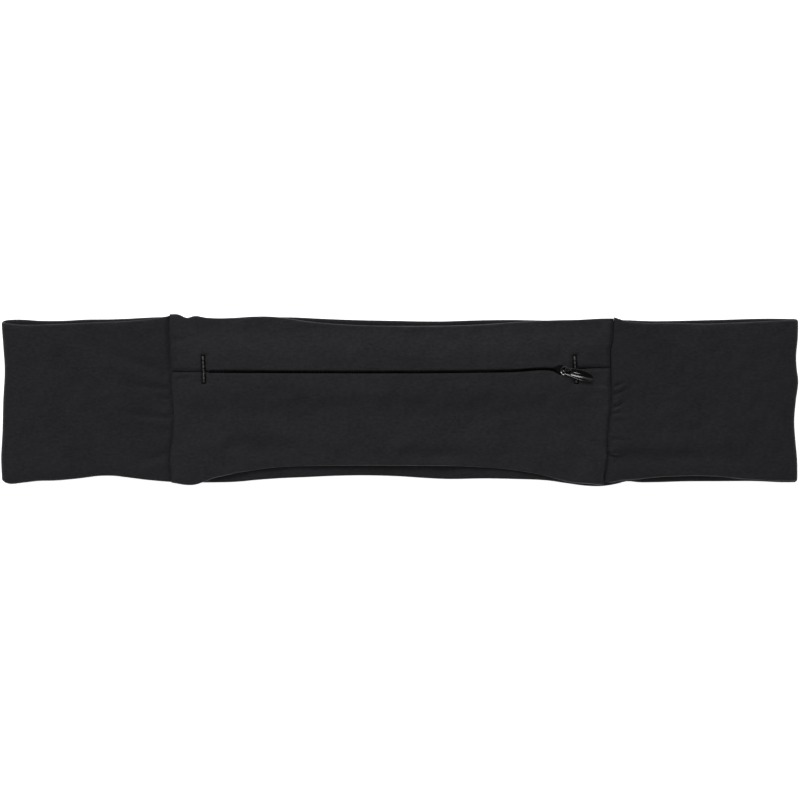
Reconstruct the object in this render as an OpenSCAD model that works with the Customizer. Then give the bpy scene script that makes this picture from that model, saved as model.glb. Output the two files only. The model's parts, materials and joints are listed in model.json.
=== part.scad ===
// Tubular stretch waist belt with a zipped front pocket, laid flat.
// +X runs along the belt, +Y across it, +Z up through its layers.
// The origin is the centre of the belt on the face it rests on.

/* [Belt] */
// Length of the flattened loop, fold to fold
flat_len = 383; // [370:1:480]
// Height of the fabric tube
band_h = 77; // [70:0.5:78]
// Thickness of the flattened fabric tube
band_t = 2; // [1.8:0.1:3]
// Thickness of one ply of fabric
ply_t = 0.7; // [0.5:0.05:0.8]
// Gap between the back and front halves of the flattened loop
loop_gap = 0.4; // [0.2:0.1:1]
// Distance from the centre to each line that the loop bends along
bend_x = 109.6; // [108:0.1:112]

/* [Pocket panel] */
// Distance from the centre to the right side seam
panel_right = 101.3; // [98:0.1:106]
// Height of the panel at its side seams
panel_h = 81.6; // [80:0.2:84]
// How far the top edge dips between the seams
top_dip = 5.4; // [0:0.1:5.8]
// How far the bottom edge rises between the seams
bottom_rise = 9.5; // [0:0.1:14]
// Clear height inside the empty pocket
pocket_gap = 0.6; // [0.5:0.1:2]
// Width of each side seam
seam_w = 1.4; // [1:0.1:2]

/* [Zip] */
// Height of the zip line above the belt's centre line
zip_y = 14; // [8:0.1:15]
// Length between the two bartacks, a standard zip length
zip_len = 177.8; // [150:0.1:178]
// Distance from the centre to the left bartack
zip_left = 93.6; // [92:0.1:94]
// Width of the slit between the two fabric lips
slit_w = 1.4; // [1.3:0.05:3]
// Width of each tape, from the teeth to its outer edge
tape_w = 10.2; // [8:0.1:11]
// Thickness of each tape
tape_t = 0.5; // [0.3:0.05:0.6]
// Distance from one tooth to the next along a row
tooth_pitch = 1.25; // [1.1:0.05:1.6]
// Thickness of the toothed chain
chain_t = 1.6; // [1.2:0.1:2]

/* [Slider and pull] */
// Length of the slider
slider_len = 8.4; // [8:0.1:9]
// Distance from the centre to the slider when the zip is closed
slider_x = 79.3; // [78:0.1:79.4]
// How far the slider runs
slider_travel = 165; // [100:1:165]
// Length of the pull tab from its pivot to its tip
tab_len = 13.9; // [10:0.1:20]
// Greatest width of the pull tab
tab_w = 5.4; // [4:0.1:6]
// Thickness of the pull tab
tab_t = 1.1; // [0.8:0.1:1.2]
// Angle the tab lies at, below the zip line
tab_turn = 15; // [0:1:15]

/* [Hidden] */
$fn = 48;

fabric = [0.16, 0.16, 0.165];
fabric_dark = [0.13, 0.13, 0.14];
thread = [0.27, 0.27, 0.28];
metal = [0.07, 0.07, 0.08];

joint_gap = 0.1;
play = 0.1;
slide_play = 0.2;
small = 0.02;
half_len = flat_len / 2;

// The loop's two ends turn round a fold with its axis at fold_x
fold_r = band_t + loop_gap / 2;
fold_x = half_len - fold_r;
front_end = fold_x - fold_r - joint_gap;

// Heights of the front layers, from the loop's gap up
front_z = band_t + loop_gap;
backing_top = front_z + ply_t;
panel_z = backing_top + pocket_gap + ply_t;

// Heights of the zip's layers, from the backing up
plate_t = 0.7;
slider_z = backing_top + slide_play;
chain_z = slider_z + plate_t + play;
chain_top = chain_z + chain_t;
slider_top = chain_top + play + plate_t;
lip_z = slider_top + slide_play;
lip_top = lip_z + ply_t;
zip_rise = lip_top - panel_z;
tape_z = chain_z + (chain_t - tape_t) / 2;

// The panel stands flat over the zip, then falls away to the belt
rise_flat = 8.5;
rise_foot = 20;
rise_steps = 8;

// Panel ends and the pocket between the side seams
panel_half = panel_h / 2;
seam_left = -bend_x + joint_gap;
pocket_left = seam_left + seam_w;
pocket_right = panel_right - seam_w;
panel_mid = (seam_left + panel_right) / 2;
panel_reach = (panel_right - seam_left) / 2;
outline_steps = 28;
top_power = 3;
bottom_power = 4;

// Zip: teeth, stops and bartacks along X
tack_left = -zip_left;
tack_right = zip_len - zip_left;
tack_w = 1.4;
tack_len = 14.6;
tack_t = 0.4;
tack_stitch = 0.34;
tack_pitch = 0.5;
slit_end = tack_w / 2;
stop_len = 1.5;
stop_w = 1.5;
stop_room = 0.7;
chain_left = slider_x - slider_travel - slider_len / 2 - stop_room;
chain_right = slider_x + slider_len / 2 + 0.3;
tooth_reach = 0.45;
tooth_w = 0.5;
row_root = 1.15;
row_back = 1.75;
tape_overrun = 4;
stitch_len = 1.6;
stitch_w = 0.3;
stitch_pitch = 3;
stitch_off = 6.5;

// The slider parts the two rows of teeth by row_part at its nose
row_part = 1.25;
part_from = -1.2;
part_to = 1.6;
slider_rear = 2.55;
slider_nose = 3.75;
flange_w = 0.6;
flange_h = 0.5;
post_w = 0.65;
post_tip = 0.2;
nose_cut = 0.6;

// Bail: a neck through the slit, a saddle over the lips and a hoop
bail_w = 3.8;
bail_t = 0.8;
bail_bar = 0.6;
saddle_d = 4.8;
saddle_t = 0.5;
saddle_z = lip_top + play;
bail_hole_z = saddle_z + saddle_t + play;
bail_hole_h = 1.5;
pivot_z = bail_hole_z + play + tab_t / 2;

// Pull tab: a ring that hooks the bail, then a plate shaped like a drop
ring_in = 1;
ring_out = 1.55;
ring_len = 3;
widest_at = 0.66;

label_len = 13;
label_h = 20;
label_y = -26;
label_t = 0.2;

// ---------- helpers ----------

// Draws a (Y, Z) profile from x0 to x1 along the belt
module along_x(x0, x1) {
  translate([x0, 0, 0])
    rotate([90, 0, 90])
      linear_extrude(height = x1 - x0)
        children();
}

module stadium(h, t) {
  square([h - t, t], center = true);
  for (side = [-1, 1])
    translate([side * (h - t) / 2, 0])
      circle(d = t);
}

// One length of the flattened tube, resting at height z
module band_segment(x0, x1, z) {
  translate([0, 0, z + band_t / 2])
    along_x(x0, x1)
      difference() {
        stadium(band_h, band_t);
        stadium(band_h - 2 * ply_t, band_t - 2 * ply_t);
      }
}

// Rounded end of the loop, where the band turns from back to front
module fold_nose(x) {
  translate([x, 0, fold_r])
    rotate([90, 0, 0])
      cylinder(h = band_h - band_t, r = fold_r, center = true);
}

// Height of the panel's outer face at a given place across it
function rise(d) =
  d <= rise_flat ? 1 :
  d >= rise_foot ? 0 :
  0.5 + 0.5 * cos(180 * (d - rise_flat) / (rise_foot - rise_flat));

function panel_top(y) = panel_z + zip_rise * rise(abs(y - zip_y));

// Places across the panel between y0 and y1 where its profile bends
function ramp(a, b) = [for (i = [0 : rise_steps]) a + (b - a) * i / rise_steps];

function bends(y0, y1) = [
  y0,
  for (y = concat(
    ramp(zip_y - rise_foot, zip_y - rise_flat),
    ramp(zip_y + rise_flat, zip_y + rise_foot)
  )) if (y > y0 && y < y1) y,
  y1
];

// Profile of the panel between y0 and y1, from drop0 below its face to drop1
module skin_profile(y0, y1, drop0, drop1) {
  ys = bends(y0, y1);
  last = len(ys) - 1;
  polygon(concat(
    [for (y = ys) [y, panel_top(y) - drop0]],
    [for (i = [0 : last]) [ys[last - i], panel_top(ys[last - i]) - drop1]]
  ));
}

// Edge of the panel at x, drawn in from its fold by inset
function reach(x) = abs(x - panel_mid) / panel_reach;

function top_edge(x, inset) =
  panel_half - top_dip * (1 - pow(reach(x), top_power)) - inset;

function bottom_edge(x, inset) =
  inset - panel_half + bottom_rise * (1 - pow(reach(x), bottom_power));

module panel_outline(x0, x1, inset) {
  dx = (x1 - x0) / outline_steps;
  polygon(concat(
    [for (i = [0 : outline_steps]) [x0 + i * dx, top_edge(x0 + i * dx, inset)]],
    [for (i = [0 : outline_steps]) [x1 - i * dx, bottom_edge(x1 - i * dx, inset)]]
  ));
}

module panel_column(x0, x1, inset, z0, z1) {
  translate([0, 0, z0])
    linear_extrude(height = z1 - z0)
      panel_outline(x0, x1, inset);
}

// Hem that closes the pocket between its two plies, from y0 to y1
module pocket_hem(y0, y1) {
  intersection() {
    difference() {
      panel_column(pocket_left, pocket_right, 0, backing_top, panel_z - ply_t);
      panel_column(pocket_left - 1, pocket_right + 1, ply_t, 0, panel_z);
    }
    translate([-half_len, y0, 0])
      cube([flat_len, y1 - y0, panel_z]);
  }
}

// Pocket fabric from y0 to y1, from one side seam to the other
module panel_skin(y0, y1) {
  intersection() {
    along_x(pocket_left, pocket_right)
      skin_profile(y0, y1, 0, ply_t);
    panel_column(pocket_left - small, pocket_right + small, 0, 0, lip_top + 1);
  }
}

// Gap between the two fabric lips, from one bartack to the other
module slit() {
  translate([tack_left - slit_end, zip_y - slit_w / 2, panel_z])
    cube([zip_len + 2 * slit_end, slit_w, lip_top]);
}

module side_seam(x0) {
  along_x(x0, x0 + seam_w)
    polygon(concat(
      [for (y = bends(-panel_half, panel_half)) [y, panel_top(y)]],
      [[panel_half, front_z], [-panel_half, front_z]]
    ));
}

// Distance that the slider's nose has parted each row at x
function parted(x) =
  row_part * min(1, max(0, (x - slider_x - part_from) / (part_to - part_from)));

// One row of teeth; side is 1 above the zip line and -1 below it
module tooth_row(side) {
  shift = side > 0 ? 0 : tooth_pitch / 2;
  count = floor((chain_right - chain_left - shift) / tooth_pitch);
  starts = [for (i = [0 : count - 1]) chain_left + shift + i * tooth_pitch];
  teeth = [
    for (x = starts)
      for (p = [
        [x, row_root], [x + 0.1, -tooth_reach * 0.6], [x + 0.2, -tooth_reach],
        [x + tooth_w - 0.2, -tooth_reach],
        [x + tooth_w - 0.1, -tooth_reach * 0.6], [x + tooth_w, row_root]
      ]) [p[0], p[1] + parted(x)]
  ];
  end_x = starts[count - 1] + tooth_w;
  back_xs = [end_x, slider_x + part_to, slider_x + part_from, starts[0]];
  back = [for (x = back_xs) [x, row_back + parted(x)]];
  translate([0, zip_y, chain_z])
    linear_extrude(height = chain_t)
      polygon([for (p = concat(teeth, back)) [p[0], side * p[1]]]);
}

// Tape outside one row of teeth
module tape(side) {
  x0 = tack_left - tape_overrun;
  x1 = tack_right + tape_overrun;
  inner_xs = [x0, slider_x + part_from, slider_x + part_to, x1];
  inner = [for (x = inner_xs) [x, row_back + small + parted(x)]];
  outer = [[x1, row_back + tape_w], [x0, row_back + tape_w]];
  translate([0, zip_y, tape_z])
    linear_extrude(height = tape_t)
      polygon([for (p = concat(inner, outer)) [p[0], side * p[1]]]);
}

// Row of satin stitches across the end of the zip
module bartack(x) {
  count = floor(tack_len / tack_pitch);
  for (i = [0 : count - 1])
    translate([x - tack_w / 2, zip_y + (i - (count - 1) / 2) * tack_pitch - tack_stitch / 2, lip_top])
      cube([tack_w, tack_stitch, tack_t]);
}

// Outline of the slider seen from above, drawn in by inset
module slider_outline(inset) {
  back = -slider_len / 2 + inset;
  front = slider_len / 2 - inset;
  rear = slider_rear - inset;
  nose = slider_nose - inset;
  half = [
    [back, rear - nose_cut], [back + nose_cut, rear], [part_from - 0.2, rear],
    [part_to, nose], [front - nose_cut, nose], [front, nose - nose_cut]
  ];
  last = len(half) - 1;
  polygon(concat(half, [for (i = [0 : last]) [half[last - i][0], -half[last - i][1]]]));
}

module at_slider(z) {
  translate([slider_x, zip_y, z])
    children();
}

module slider_plate(z) {
  at_slider(z)
    linear_extrude(height = plate_t)
      slider_outline(0);
}

// The two side walls of the slider, open at both ends
module slider_flanges(z) {
  at_slider(z)
    linear_extrude(height = flange_h)
      difference() {
        slider_outline(0);
        slider_outline(flange_w);
        translate([-slider_len, -slider_rear + flange_w])
          square([slider_len, 2 * (slider_rear - flange_w)]);
        translate([0, -slider_nose + flange_w])
          square([slider_len, 2 * (slider_nose - flange_w)]);
      }
}

// Half-width of the tab at a given share of its length from the pivot
function tab_half(u) =
  u < widest_at
    ? ring_out + (tab_w / 2 - ring_out) * pow(sin(90 * u / widest_at), 2)
    : tab_w / 2 * sqrt(max(0, 1 - pow((u - widest_at) / (1 - widest_at), 2)));

module tab_outline() {
  steps = 12;
  shares = concat(
    [for (i = [0 : steps - 1]) widest_at * i / steps],
    [for (a = [0 : 90 / steps : 89]) widest_at + (1 - widest_at) * sin(a)]
  );
  last = len(shares) - 1;
  polygon(concat(
    [for (u = shares) [tab_len * u, tab_half(u)]],
    [[tab_len, 0]],
    [for (i = [0 : last]) [tab_len * shares[last - i], -tab_half(shares[last - i])]]
  ));
}

// ---------- fabric loop ----------

module band_back() {
  color(fabric)
    band_segment(-bend_x + joint_gap, bend_x - joint_gap, 0);
}

module band_right_back() {
  color(fabric)
    union() {
      band_segment(bend_x + joint_gap, fold_x, 0);
      fold_nose(fold_x);
    }
}

module band_right_front() {
  color(fabric)
    band_segment(bend_x + joint_gap, front_end, front_z);
}

module band_left_back() {
  color(fabric)
    union() {
      band_segment(-fold_x, -bend_x - joint_gap, 0);
      fold_nose(-fold_x);
    }
}

module band_left_front() {
  color(fabric)
    band_segment(-front_end, -bend_x - joint_gap, front_z);
}

// Band between the right side seam and the bend beside it
module band_front_strip() {
  color(fabric)
    band_segment(panel_right, bend_x - joint_gap, front_z);
}

// ---------- pocket ----------

module front_panel_upper() {
  color(fabric)
    difference() {
      panel_skin(zip_y + small, panel_half);
      slit();
    }
}

module front_panel_lower() {
  color(fabric_dark)
    difference() {
      panel_skin(-panel_half, zip_y - small);
      slit();
    }
}

module panel_hem_upper() {
  color(fabric)
    pocket_hem(0, panel_half);
}

module panel_hem_lower() {
  color(fabric_dark)
    pocket_hem(-panel_half, 0);
}

module pocket_backing() {
  color(fabric_dark)
    panel_column(pocket_left, pocket_right, 0, front_z, backing_top);
}

module side_seam_left() {
  color(fabric_dark)
    side_seam(seam_left);
}

module side_seam_right() {
  color(fabric_dark)
    side_seam(pocket_right);
}

module care_label() {
  color("gainsboro")
    translate([pocket_left, label_y, backing_top + play])
      cube([label_len, label_h, label_t]);
}

// ---------- zip ----------

module zip_tape_upper() {
  color(fabric_dark)
    tape(1);
}

module zip_tape_lower() {
  color(fabric_dark)
    tape(-1);
}

module zip_coil_upper() {
  color(metal)
    tooth_row(1);
}

module zip_coil_lower() {
  color(metal)
    tooth_row(-1);
}

module zip_bottom_stop() {
  color(metal)
    translate([chain_left - stop_len - play, zip_y - stop_w, chain_z])
      cube([stop_len, 2 * stop_w, chain_t]);
}

module zip_top_stops() {
  color(metal)
    for (side = [-1, 1])
      translate([chain_right + play, zip_y + side * (row_part + 1) - stop_w / 2, chain_z])
        cube([stop_len, stop_w, chain_t]);
}

// Stitches that sew each tape to the fabric above it
module zip_stitching() {
  count = floor((zip_len - 2 * stitch_pitch) / stitch_pitch);
  color(thread)
    for (side = [-1, 1])
      for (i = [0 : count])
        translate([
          tack_left + stitch_pitch + i * stitch_pitch,
          zip_y + side * stitch_off - stitch_w / 2,
          tape_z + tape_t
        ])
          cube([stitch_len, stitch_w, lip_z - tape_z - tape_t]);
}

module bartack_left() {
  color(thread)
    bartack(tack_left);
}

module bartack_right() {
  color(thread)
    bartack(tack_right);
}

// ---------- slider and pull tab ----------

module slider_body() {
  color(metal)
    union() {
      slider_plate(slider_z);
      slider_plate(slider_top - plate_t);
      slider_flanges(slider_z + plate_t);
      slider_flanges(slider_top - plate_t - flange_h);
      at_slider(slider_z + plate_t)
        linear_extrude(height = slider_top - slider_z - 2 * plate_t)
          polygon([
            [post_tip, 0], [part_to, post_w], [slider_len / 2, post_w],
            [slider_len / 2, -post_w], [part_to, -post_w]
          ]);
    }
}

// The bail seen from the side: its neck and its hoop in one plate
module bail_profile() {
  hole_w = bail_w - 2 * bail_bar;
  hoop_top = bail_hole_z + bail_hole_h + bail_bar;
  difference() {
    union() {
      translate([-bail_w / 2, slider_top])
        square([bail_w, hoop_top - bail_bar - slider_top]);
      translate([-hole_w / 2, slider_top])
        square([hole_w, hoop_top - slider_top]);
      for (side = [-1, 1])
        translate([side * hole_w / 2, hoop_top - bail_bar])
          circle(r = bail_bar);
    }
    translate([-hole_w / 2, bail_hole_z])
      square([hole_w, bail_hole_h]);
  }
}

module slider_bail() {
  color(metal)
    at_slider(0)
      union() {
        translate([0, bail_t / 2, 0])
          rotate([90, 0, 0])
            linear_extrude(height = bail_t)
              bail_profile();
        translate([0, 0, saddle_z])
          cylinder(h = saddle_t, d = saddle_d);
      }
}

module pull_tab() {
  color(metal)
    translate([slider_x, zip_y, pivot_z])
      rotate([0, 0, -tab_turn])
        union() {
          difference() {
            translate([0, 0, -tab_t / 2])
              linear_extrude(height = tab_t)
                tab_outline();
            translate([-1, -ring_in, -tab_t])
              cube([ring_len + 1, 2 * ring_in, 2 * tab_t]);
          }
          rotate([90, 0, 0])
            cylinder(h = 2 * ring_out, d = tab_t, center = true);
        }
}

band_back();
band_right_back();
band_right_front();
band_left_back();
band_left_front();
band_front_strip();
front_panel_upper();
front_panel_lower();
panel_hem_upper();
panel_hem_lower();
pocket_backing();
side_seam_left();
side_seam_right();
zip_tape_upper();
zip_tape_lower();
zip_coil_upper();
zip_coil_lower();
zip_bottom_stop();
zip_top_stops();
zip_stitching();
bartack_left();
bartack_right();
care_label();
slider_body();
slider_bail();
pull_tab();
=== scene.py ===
"""Looks of the stretch-fabric waist belt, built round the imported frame.

Lengths are in millimetres until a mesh is made. X runs along the belt, Y across it and Z up through it.
"""

import json
import math

import bpy
import numpy as np
from mathutils import Matrix, Vector


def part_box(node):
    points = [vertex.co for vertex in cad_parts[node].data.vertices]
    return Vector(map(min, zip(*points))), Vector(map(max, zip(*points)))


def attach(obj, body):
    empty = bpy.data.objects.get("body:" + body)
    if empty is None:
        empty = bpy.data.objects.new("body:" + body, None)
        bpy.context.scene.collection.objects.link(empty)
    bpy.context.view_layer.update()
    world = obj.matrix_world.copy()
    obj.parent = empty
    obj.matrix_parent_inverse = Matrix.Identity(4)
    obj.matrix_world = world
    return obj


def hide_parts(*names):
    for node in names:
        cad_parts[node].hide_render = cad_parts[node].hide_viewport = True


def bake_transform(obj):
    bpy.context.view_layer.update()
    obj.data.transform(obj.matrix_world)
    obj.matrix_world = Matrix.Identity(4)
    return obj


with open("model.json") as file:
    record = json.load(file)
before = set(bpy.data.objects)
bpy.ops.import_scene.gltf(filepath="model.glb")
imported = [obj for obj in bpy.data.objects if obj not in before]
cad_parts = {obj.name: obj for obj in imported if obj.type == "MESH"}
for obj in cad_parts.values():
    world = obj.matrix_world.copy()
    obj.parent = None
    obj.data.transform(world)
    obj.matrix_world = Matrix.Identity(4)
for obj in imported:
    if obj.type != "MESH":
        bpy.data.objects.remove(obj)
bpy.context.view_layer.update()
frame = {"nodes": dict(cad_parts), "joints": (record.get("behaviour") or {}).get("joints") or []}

MM = 0.001
UP = np.array([0.0, 0.0, 1.0])


# ---------- places taken from the frame ----------


def box(node):
    lo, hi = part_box(node)
    return np.array(lo) / MM, np.array(hi) / MM


def middle(node):
    lo, hi = box(node)
    return (lo + hi) / 2


def joint(name):
    return next(j for j in frame["joints"] if j["name"] == name)


def joint_place(name):
    return np.array(joint(name)["pos_m"]) / MM


BEND_X = joint_place("loop_open")[0]
FOLD_X, _, FOLD_Z = joint_place("right_fold")
END_X = box("band_right_back")[1][0]
BACK_TOP = box("band_back")[1][2]
HALF_H = box("band_back")[1][1]
FRONT_Z = box("pocket_backing")[0][2]
FRONT_TOP = box("band_right_front")[1][2]
LIP_TOP = box("front_panel_upper")[1][2]
PANEL_HALF = box("side_seam_left")[1][1]
SEAM_L = -BEND_X
SEAM_R = middle("side_seam_right")[0]
SLIDER_X, ZIP_Y, _ = middle("slider_body")
TACK_L = middle("bartack_left")[0]
TACK_R = middle("bartack_right")[0]
TACK_LIFT = 1.4

LAYER_T = FRONT_TOP - FRONT_Z
LOOP_HALF_GAP = (FRONT_Z - BACK_TOP) / 2
ZIP_RISE = LIP_TOP - FRONT_TOP
PLY = 0.6


# ---------- small maths ----------


def curve(points):
    """A smooth function through (place, value) points."""
    xs, ys = np.array(points, float).T
    slopes = np.gradient(ys, xs)

    def value(x):
        x = np.clip(x, xs[0], xs[-1])
        i = np.clip(np.searchsorted(xs, x) - 1, 0, len(xs) - 2)
        step = xs[i + 1] - xs[i]
        t = (x - xs[i]) / step
        a = (1 + 2 * t) * (1 - t) ** 2
        b = t * (1 - t) ** 2
        c = t * t * (3 - 2 * t)
        d = t * t * (t - 1)
        return a * ys[i] + b * step * slopes[i] + c * ys[i + 1] + d * step * slopes[i + 1]

    return value


def smooth(t):
    t = np.clip(t, 0, 1)
    return t * t * (3 - 2 * t)


def bell(x, centre, width):
    return np.exp(-(((x - centre) / width) ** 2))


def ripples(seed, count, wave, height):
    """A soft random height field: waves of about one length in random directions."""
    rng = np.random.default_rng(seed)
    angles = rng.uniform(0, 2 * math.pi, count)
    lengths = wave * rng.uniform(0.7, 1.4, count)
    phases = rng.uniform(0, 2 * math.pi, count)
    scale = height / math.sqrt(count / 2)

    def value(x, y):
        total = np.zeros(np.broadcast(x, y).shape)
        for angle, length, phase in zip(angles, lengths, phases):
            k = 2 * math.pi / length
            total += np.sin(k * (x * math.cos(angle) + y * math.sin(angle)) + phase)
        return total * scale

    return value


def spaced(start, end, step, fine=None, reach=6.0):
    """Places from start to end, closer together near both ends when fine is given."""
    length = abs(end - start)
    if fine is None:
        return np.linspace(start, end, max(2, round(length / step) + 1))
    samples = np.linspace(0, length, 2000)
    near = np.minimum(samples, length - samples)
    density = 1 / (fine + (step - fine) * smooth(near / reach))
    total = np.concatenate([[0], np.cumsum((density[1:] + density[:-1]) / 2 * np.diff(samples))])
    count = max(2, round(total[-1]) + 1)
    places = np.interp(np.linspace(0, total[-1], count), total, samples)
    return start + math.copysign(1, end - start) * places


# ---------- outlines: how far each edge stands out from the straight CAD edge ----------

RIGHT_TOP = curve([(0, 1.3), (0.08, -0.5), (0.21, -1.5), (0.31, -1.4), (0.49, -1.8), (0.76, -0.9), (1, 0.1)])
RIGHT_BOTTOM = curve(
    [(0, 1.3), (0.03, 1.2), (0.07, 0.4), (0.157, -0.35), (0.262, -1.4), (0.37, -1.9), (0.47, -2.0),
     (0.58, -1.65), (0.68, -0.7), (0.79, 0.0), (0.9, 0.4), (1, 0.4)]
)
LEFT_TOP = curve([(0, 1.9), (0.125, 0.4), (0.25, -0.5), (0.42, -1.1), (0.65, -1.9), (0.93, -2.0), (1, -1.2)])
LEFT_BOTTOM = curve(
    [(0, 0.9), (0.078, 0.4), (0.164, -0.3), (0.25, -1.2), (0.347, -2.1), (0.43, -2.0), (0.52, -1.1),
     (0.6, -0.3), (0.69, 0.2), (0.786, 0.4), (0.87, 1.2), (0.957, 1.7), (1, 0.6)]
)
BACK_EDGE_TOP = curve(
    [(0, -0.4), (0.01, 0.1), (0.027, 0.2), (0.046, -0.3), (0.067, -0.4), (0.085, -0.2), (0.103, 0.2),
     (0.14, 0.4), (0.16, 0.7), (0.197, 1.4), (0.25, 0.7), (0.33, 1.3), (0.367, 1.3), (0.4, 0.7),
     (0.44, 0.1), (0.5, -0.4), (0.53, -0.6), (0.555, -0.6), (0.59, -0.2), (0.64, 0.1), (0.685, -0.2),
     (0.73, 0.0), (0.779, 0.0), (0.82, -0.5), (0.855, -0.3), (0.9, 0.1), (0.967, 0.7), (1, 0.5)]
)
BACK_EDGE_BOTTOM = curve(
    [(0, 0.7), (0.009, 1.7), (0.027, 1.3), (0.046, 0.5), (0.067, 0.3), (0.103, -1.0), (0.121, -1.9),
     (0.14, -2.0), (0.18, -0.2), (0.205, 0.7), (0.25, 1.2), (0.281, 1.1), (0.298, 0.8), (0.32, 0.0),
     (0.349, -0.8), (0.385, -1.4), (0.42, -2.0), (0.455, -2.2), (0.4975, -1.8), (0.53, -1.0),
     (0.555, -0.5), (0.61, -0.7), (0.65, -0.4), (0.685, 0.2), (0.711, 1.6), (0.735, 2.8), (0.755, 2.9),
     (0.772, 1.9), (0.786, 0.6), (0.8, 1.1), (0.82, 1.1), (0.855, 0.7), (0.9, 0.6), (0.95, 0.6),
     (0.98, 1.1), (1, 1.1)]
)
PANEL_TOP = curve(
    [(0, 0.2), (0.02, 0.0), (0.038, -1.6), (0.053, -0.7), (0.08, -1.5), (0.11, -1.8), (0.15, -1.5),
     (0.19, -1.0), (0.24, -1.2), (0.27, -2.0), (0.3, -3.0), (0.41, -5.0), (0.52, -5.5), (0.7, -4.9),
     (0.8, -3.5), (0.87, -2.8), (0.93, -2.5), (0.985, -1.9), (1, -1.9)]
)
PANEL_BOTTOM = curve(
    [(0, -1.4), (0.011, -1.0), (0.031, -0.3), (0.057, -0.5), (0.071, -1.5), (0.084, -2.5), (0.097, -3.6),
     (0.114, -4.4), (0.152, -6.2), (0.183, -7.2), (0.213, -8.2), (0.26, -9.0), (0.4, -9.6),
     (0.52, -9.6), (0.69, -9.0), (0.75, -8.2), (0.8, -6.9), (0.839, -5.5), (0.87, -3.9), (0.885, -3.0),
     (0.903, -2.0), (0.93, -1.2), (0.961, -0.8), (0.98, -0.4), (1, -0.5)]
)
SLIT_DRIFT = curve(
    [(0, -0.3), (0.1, -0.35), (0.3, -0.55), (0.52, -0.6), (0.7, -0.3), (0.8, 0.2), (0.835, 0.8),
     (0.85, 0.9), (0.866, 0.7), (0.885, 0.35), (0.91, 0.35), (0.925, 0.65), (0.955, 1.3), (1, 1.4)]
)
SEAM_L_DRIFT = curve(
    [(-1, 0.0), (-0.86, -0.3), (-0.66, -0.8), (-0.5, 0.3), (-0.37, 0.8), (-0.2, 0.9), (0, 0.6),
     (0.1, 0.2), (0.3, 0.0), (0.47, -0.5), (0.66, -1.0), (0.86, -1.4), (1, -1.0)]
)
SEAM_R_DRIFT = curve(
    [(-1, -2.4), (-0.89, -2.1), (-0.71, -0.8), (-0.46, -0.6), (-0.3, 0.0), (-0.2, 0.5), (-0.1, 1.2),
     (0, 1.1), (0.235, 1.05), (0.42, 0.9), (0.59, 0.9), (0.68, 1.8), (0.82, 2.1), (1, 2.5)]
)
END_R_WAVE = curve(
    [(-38, -0.2), (-29, -0.3), (-20, -1.1), (-10, -1.7), (0, -0.9), (9, 0.2), (16, -0.6), (21, -0.8),
     (30, 0.0), (38, 0.2)]
)
END_L_WAVE = curve([(-38, -0.3), (-28, 0.1), (-16, -0.5), (0, -0.9), (15, -1.6), (26, -0.9), (38, 0.0)])


def painted_sheen_share(x, y):
    """How strongly the painted sheen lightens the fabric where it is seen edge-on: most low down, none in the
    seams and along the slit.
    """
    near = np.minimum(np.abs(x - SEAM_L), np.abs(x - SEAM_R))
    inside = (x > SEAM_L) & (x < SEAM_R)
    lip = np.where(inside, np.abs(y - slit_y(x)), 99)
    return smooth((near - 0.8) / 2) * smooth((lip - 1.0) / 2) * (2.2 - 1.5 * smooth(0.5 + y / 40))


def panel_share(x):
    return (x - SEAM_L) / (SEAM_R - SEAM_L)


def panel_top(x):
    return PANEL_HALF + PANEL_TOP(panel_share(x))


def panel_bottom(x):
    return -PANEL_HALF - PANEL_BOTTOM(panel_share(x))


def slit_y(x):
    return ZIP_Y + SLIT_DRIFT(panel_share(x))


def seam_drift(x, y):
    """Sideways lean of the fabric beside each side seam."""
    share = y / PANEL_HALF
    reach = 9.0
    left = SEAM_L_DRIFT(share) * np.exp(-np.abs(x - SEAM_L) / reach)
    right = SEAM_R_DRIFT(share) * np.exp(-np.abs(x - SEAM_R) / reach)
    return left + right


# ---------- relief of the front fabric ----------

# Creases pressed into the front, from the deep end to the shallow end: start, end, width and depth
CREASES = [
    ((101.4, 2.2), (113, 7.2), 0.9, 1.15),
    ((101.4, 6.0), (110, 9.6), 0.7, 0.8),
    ((101.2, -4.0), (110, 0.2), 0.9, 1.2),
    ((101.0, -7.0), (107, -5.2), 0.8, 1.05),
    ((101.0, -10.5), (112, -10.2), 1.0, 0.45),
    ((100.6, -18.6), (112, -19.8), 0.9, 0.7),
    ((99.4, -26.4), (108, -27.4), 1.1, 1.7),
    ((103, -28.0), (180, -27.4), 3.3, 1.15),
    ((101.8, 33.0), (112, 30.5), 1.1, 0.4),
    ((-109.8, 12.0), (-162, 30.5), 3.0, 1.1),
    ((-110.5, 5.4), (-134, 7.6), 1.6, 0.8),
    ((-110, 0.2), (-120, 2.0), 0.8, 0.7),
    ((-109.5, -9.0), (-138, -5.6), 1.6, 0.85),
    ((-111, -26.0), (-128, -31.0), 2.0, 0.95),
    ((-108, 9.8), (-95.5, 12.2), 1.0, 0.45),
    ((-108.5, 28.0), (-95, 31.5), 1.3, 0.45),
    ((-72, 4.0), (-8, 3.2), 3.0, 0.45),
    ((-50, -1.6), (26, -2.2), 3.0, 0.35),
    ((-84, -22.5), (-26, -23.0), 3.6, 0.9),
    ((0, -26.0), (54, -27.0), 2.8, 0.8),
    ((99.5, 6.5), (86, 9.5), 1.1, 0.4),
    ((99.8, -22.0), (86, -18.0), 1.6, 0.4),
]


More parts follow.
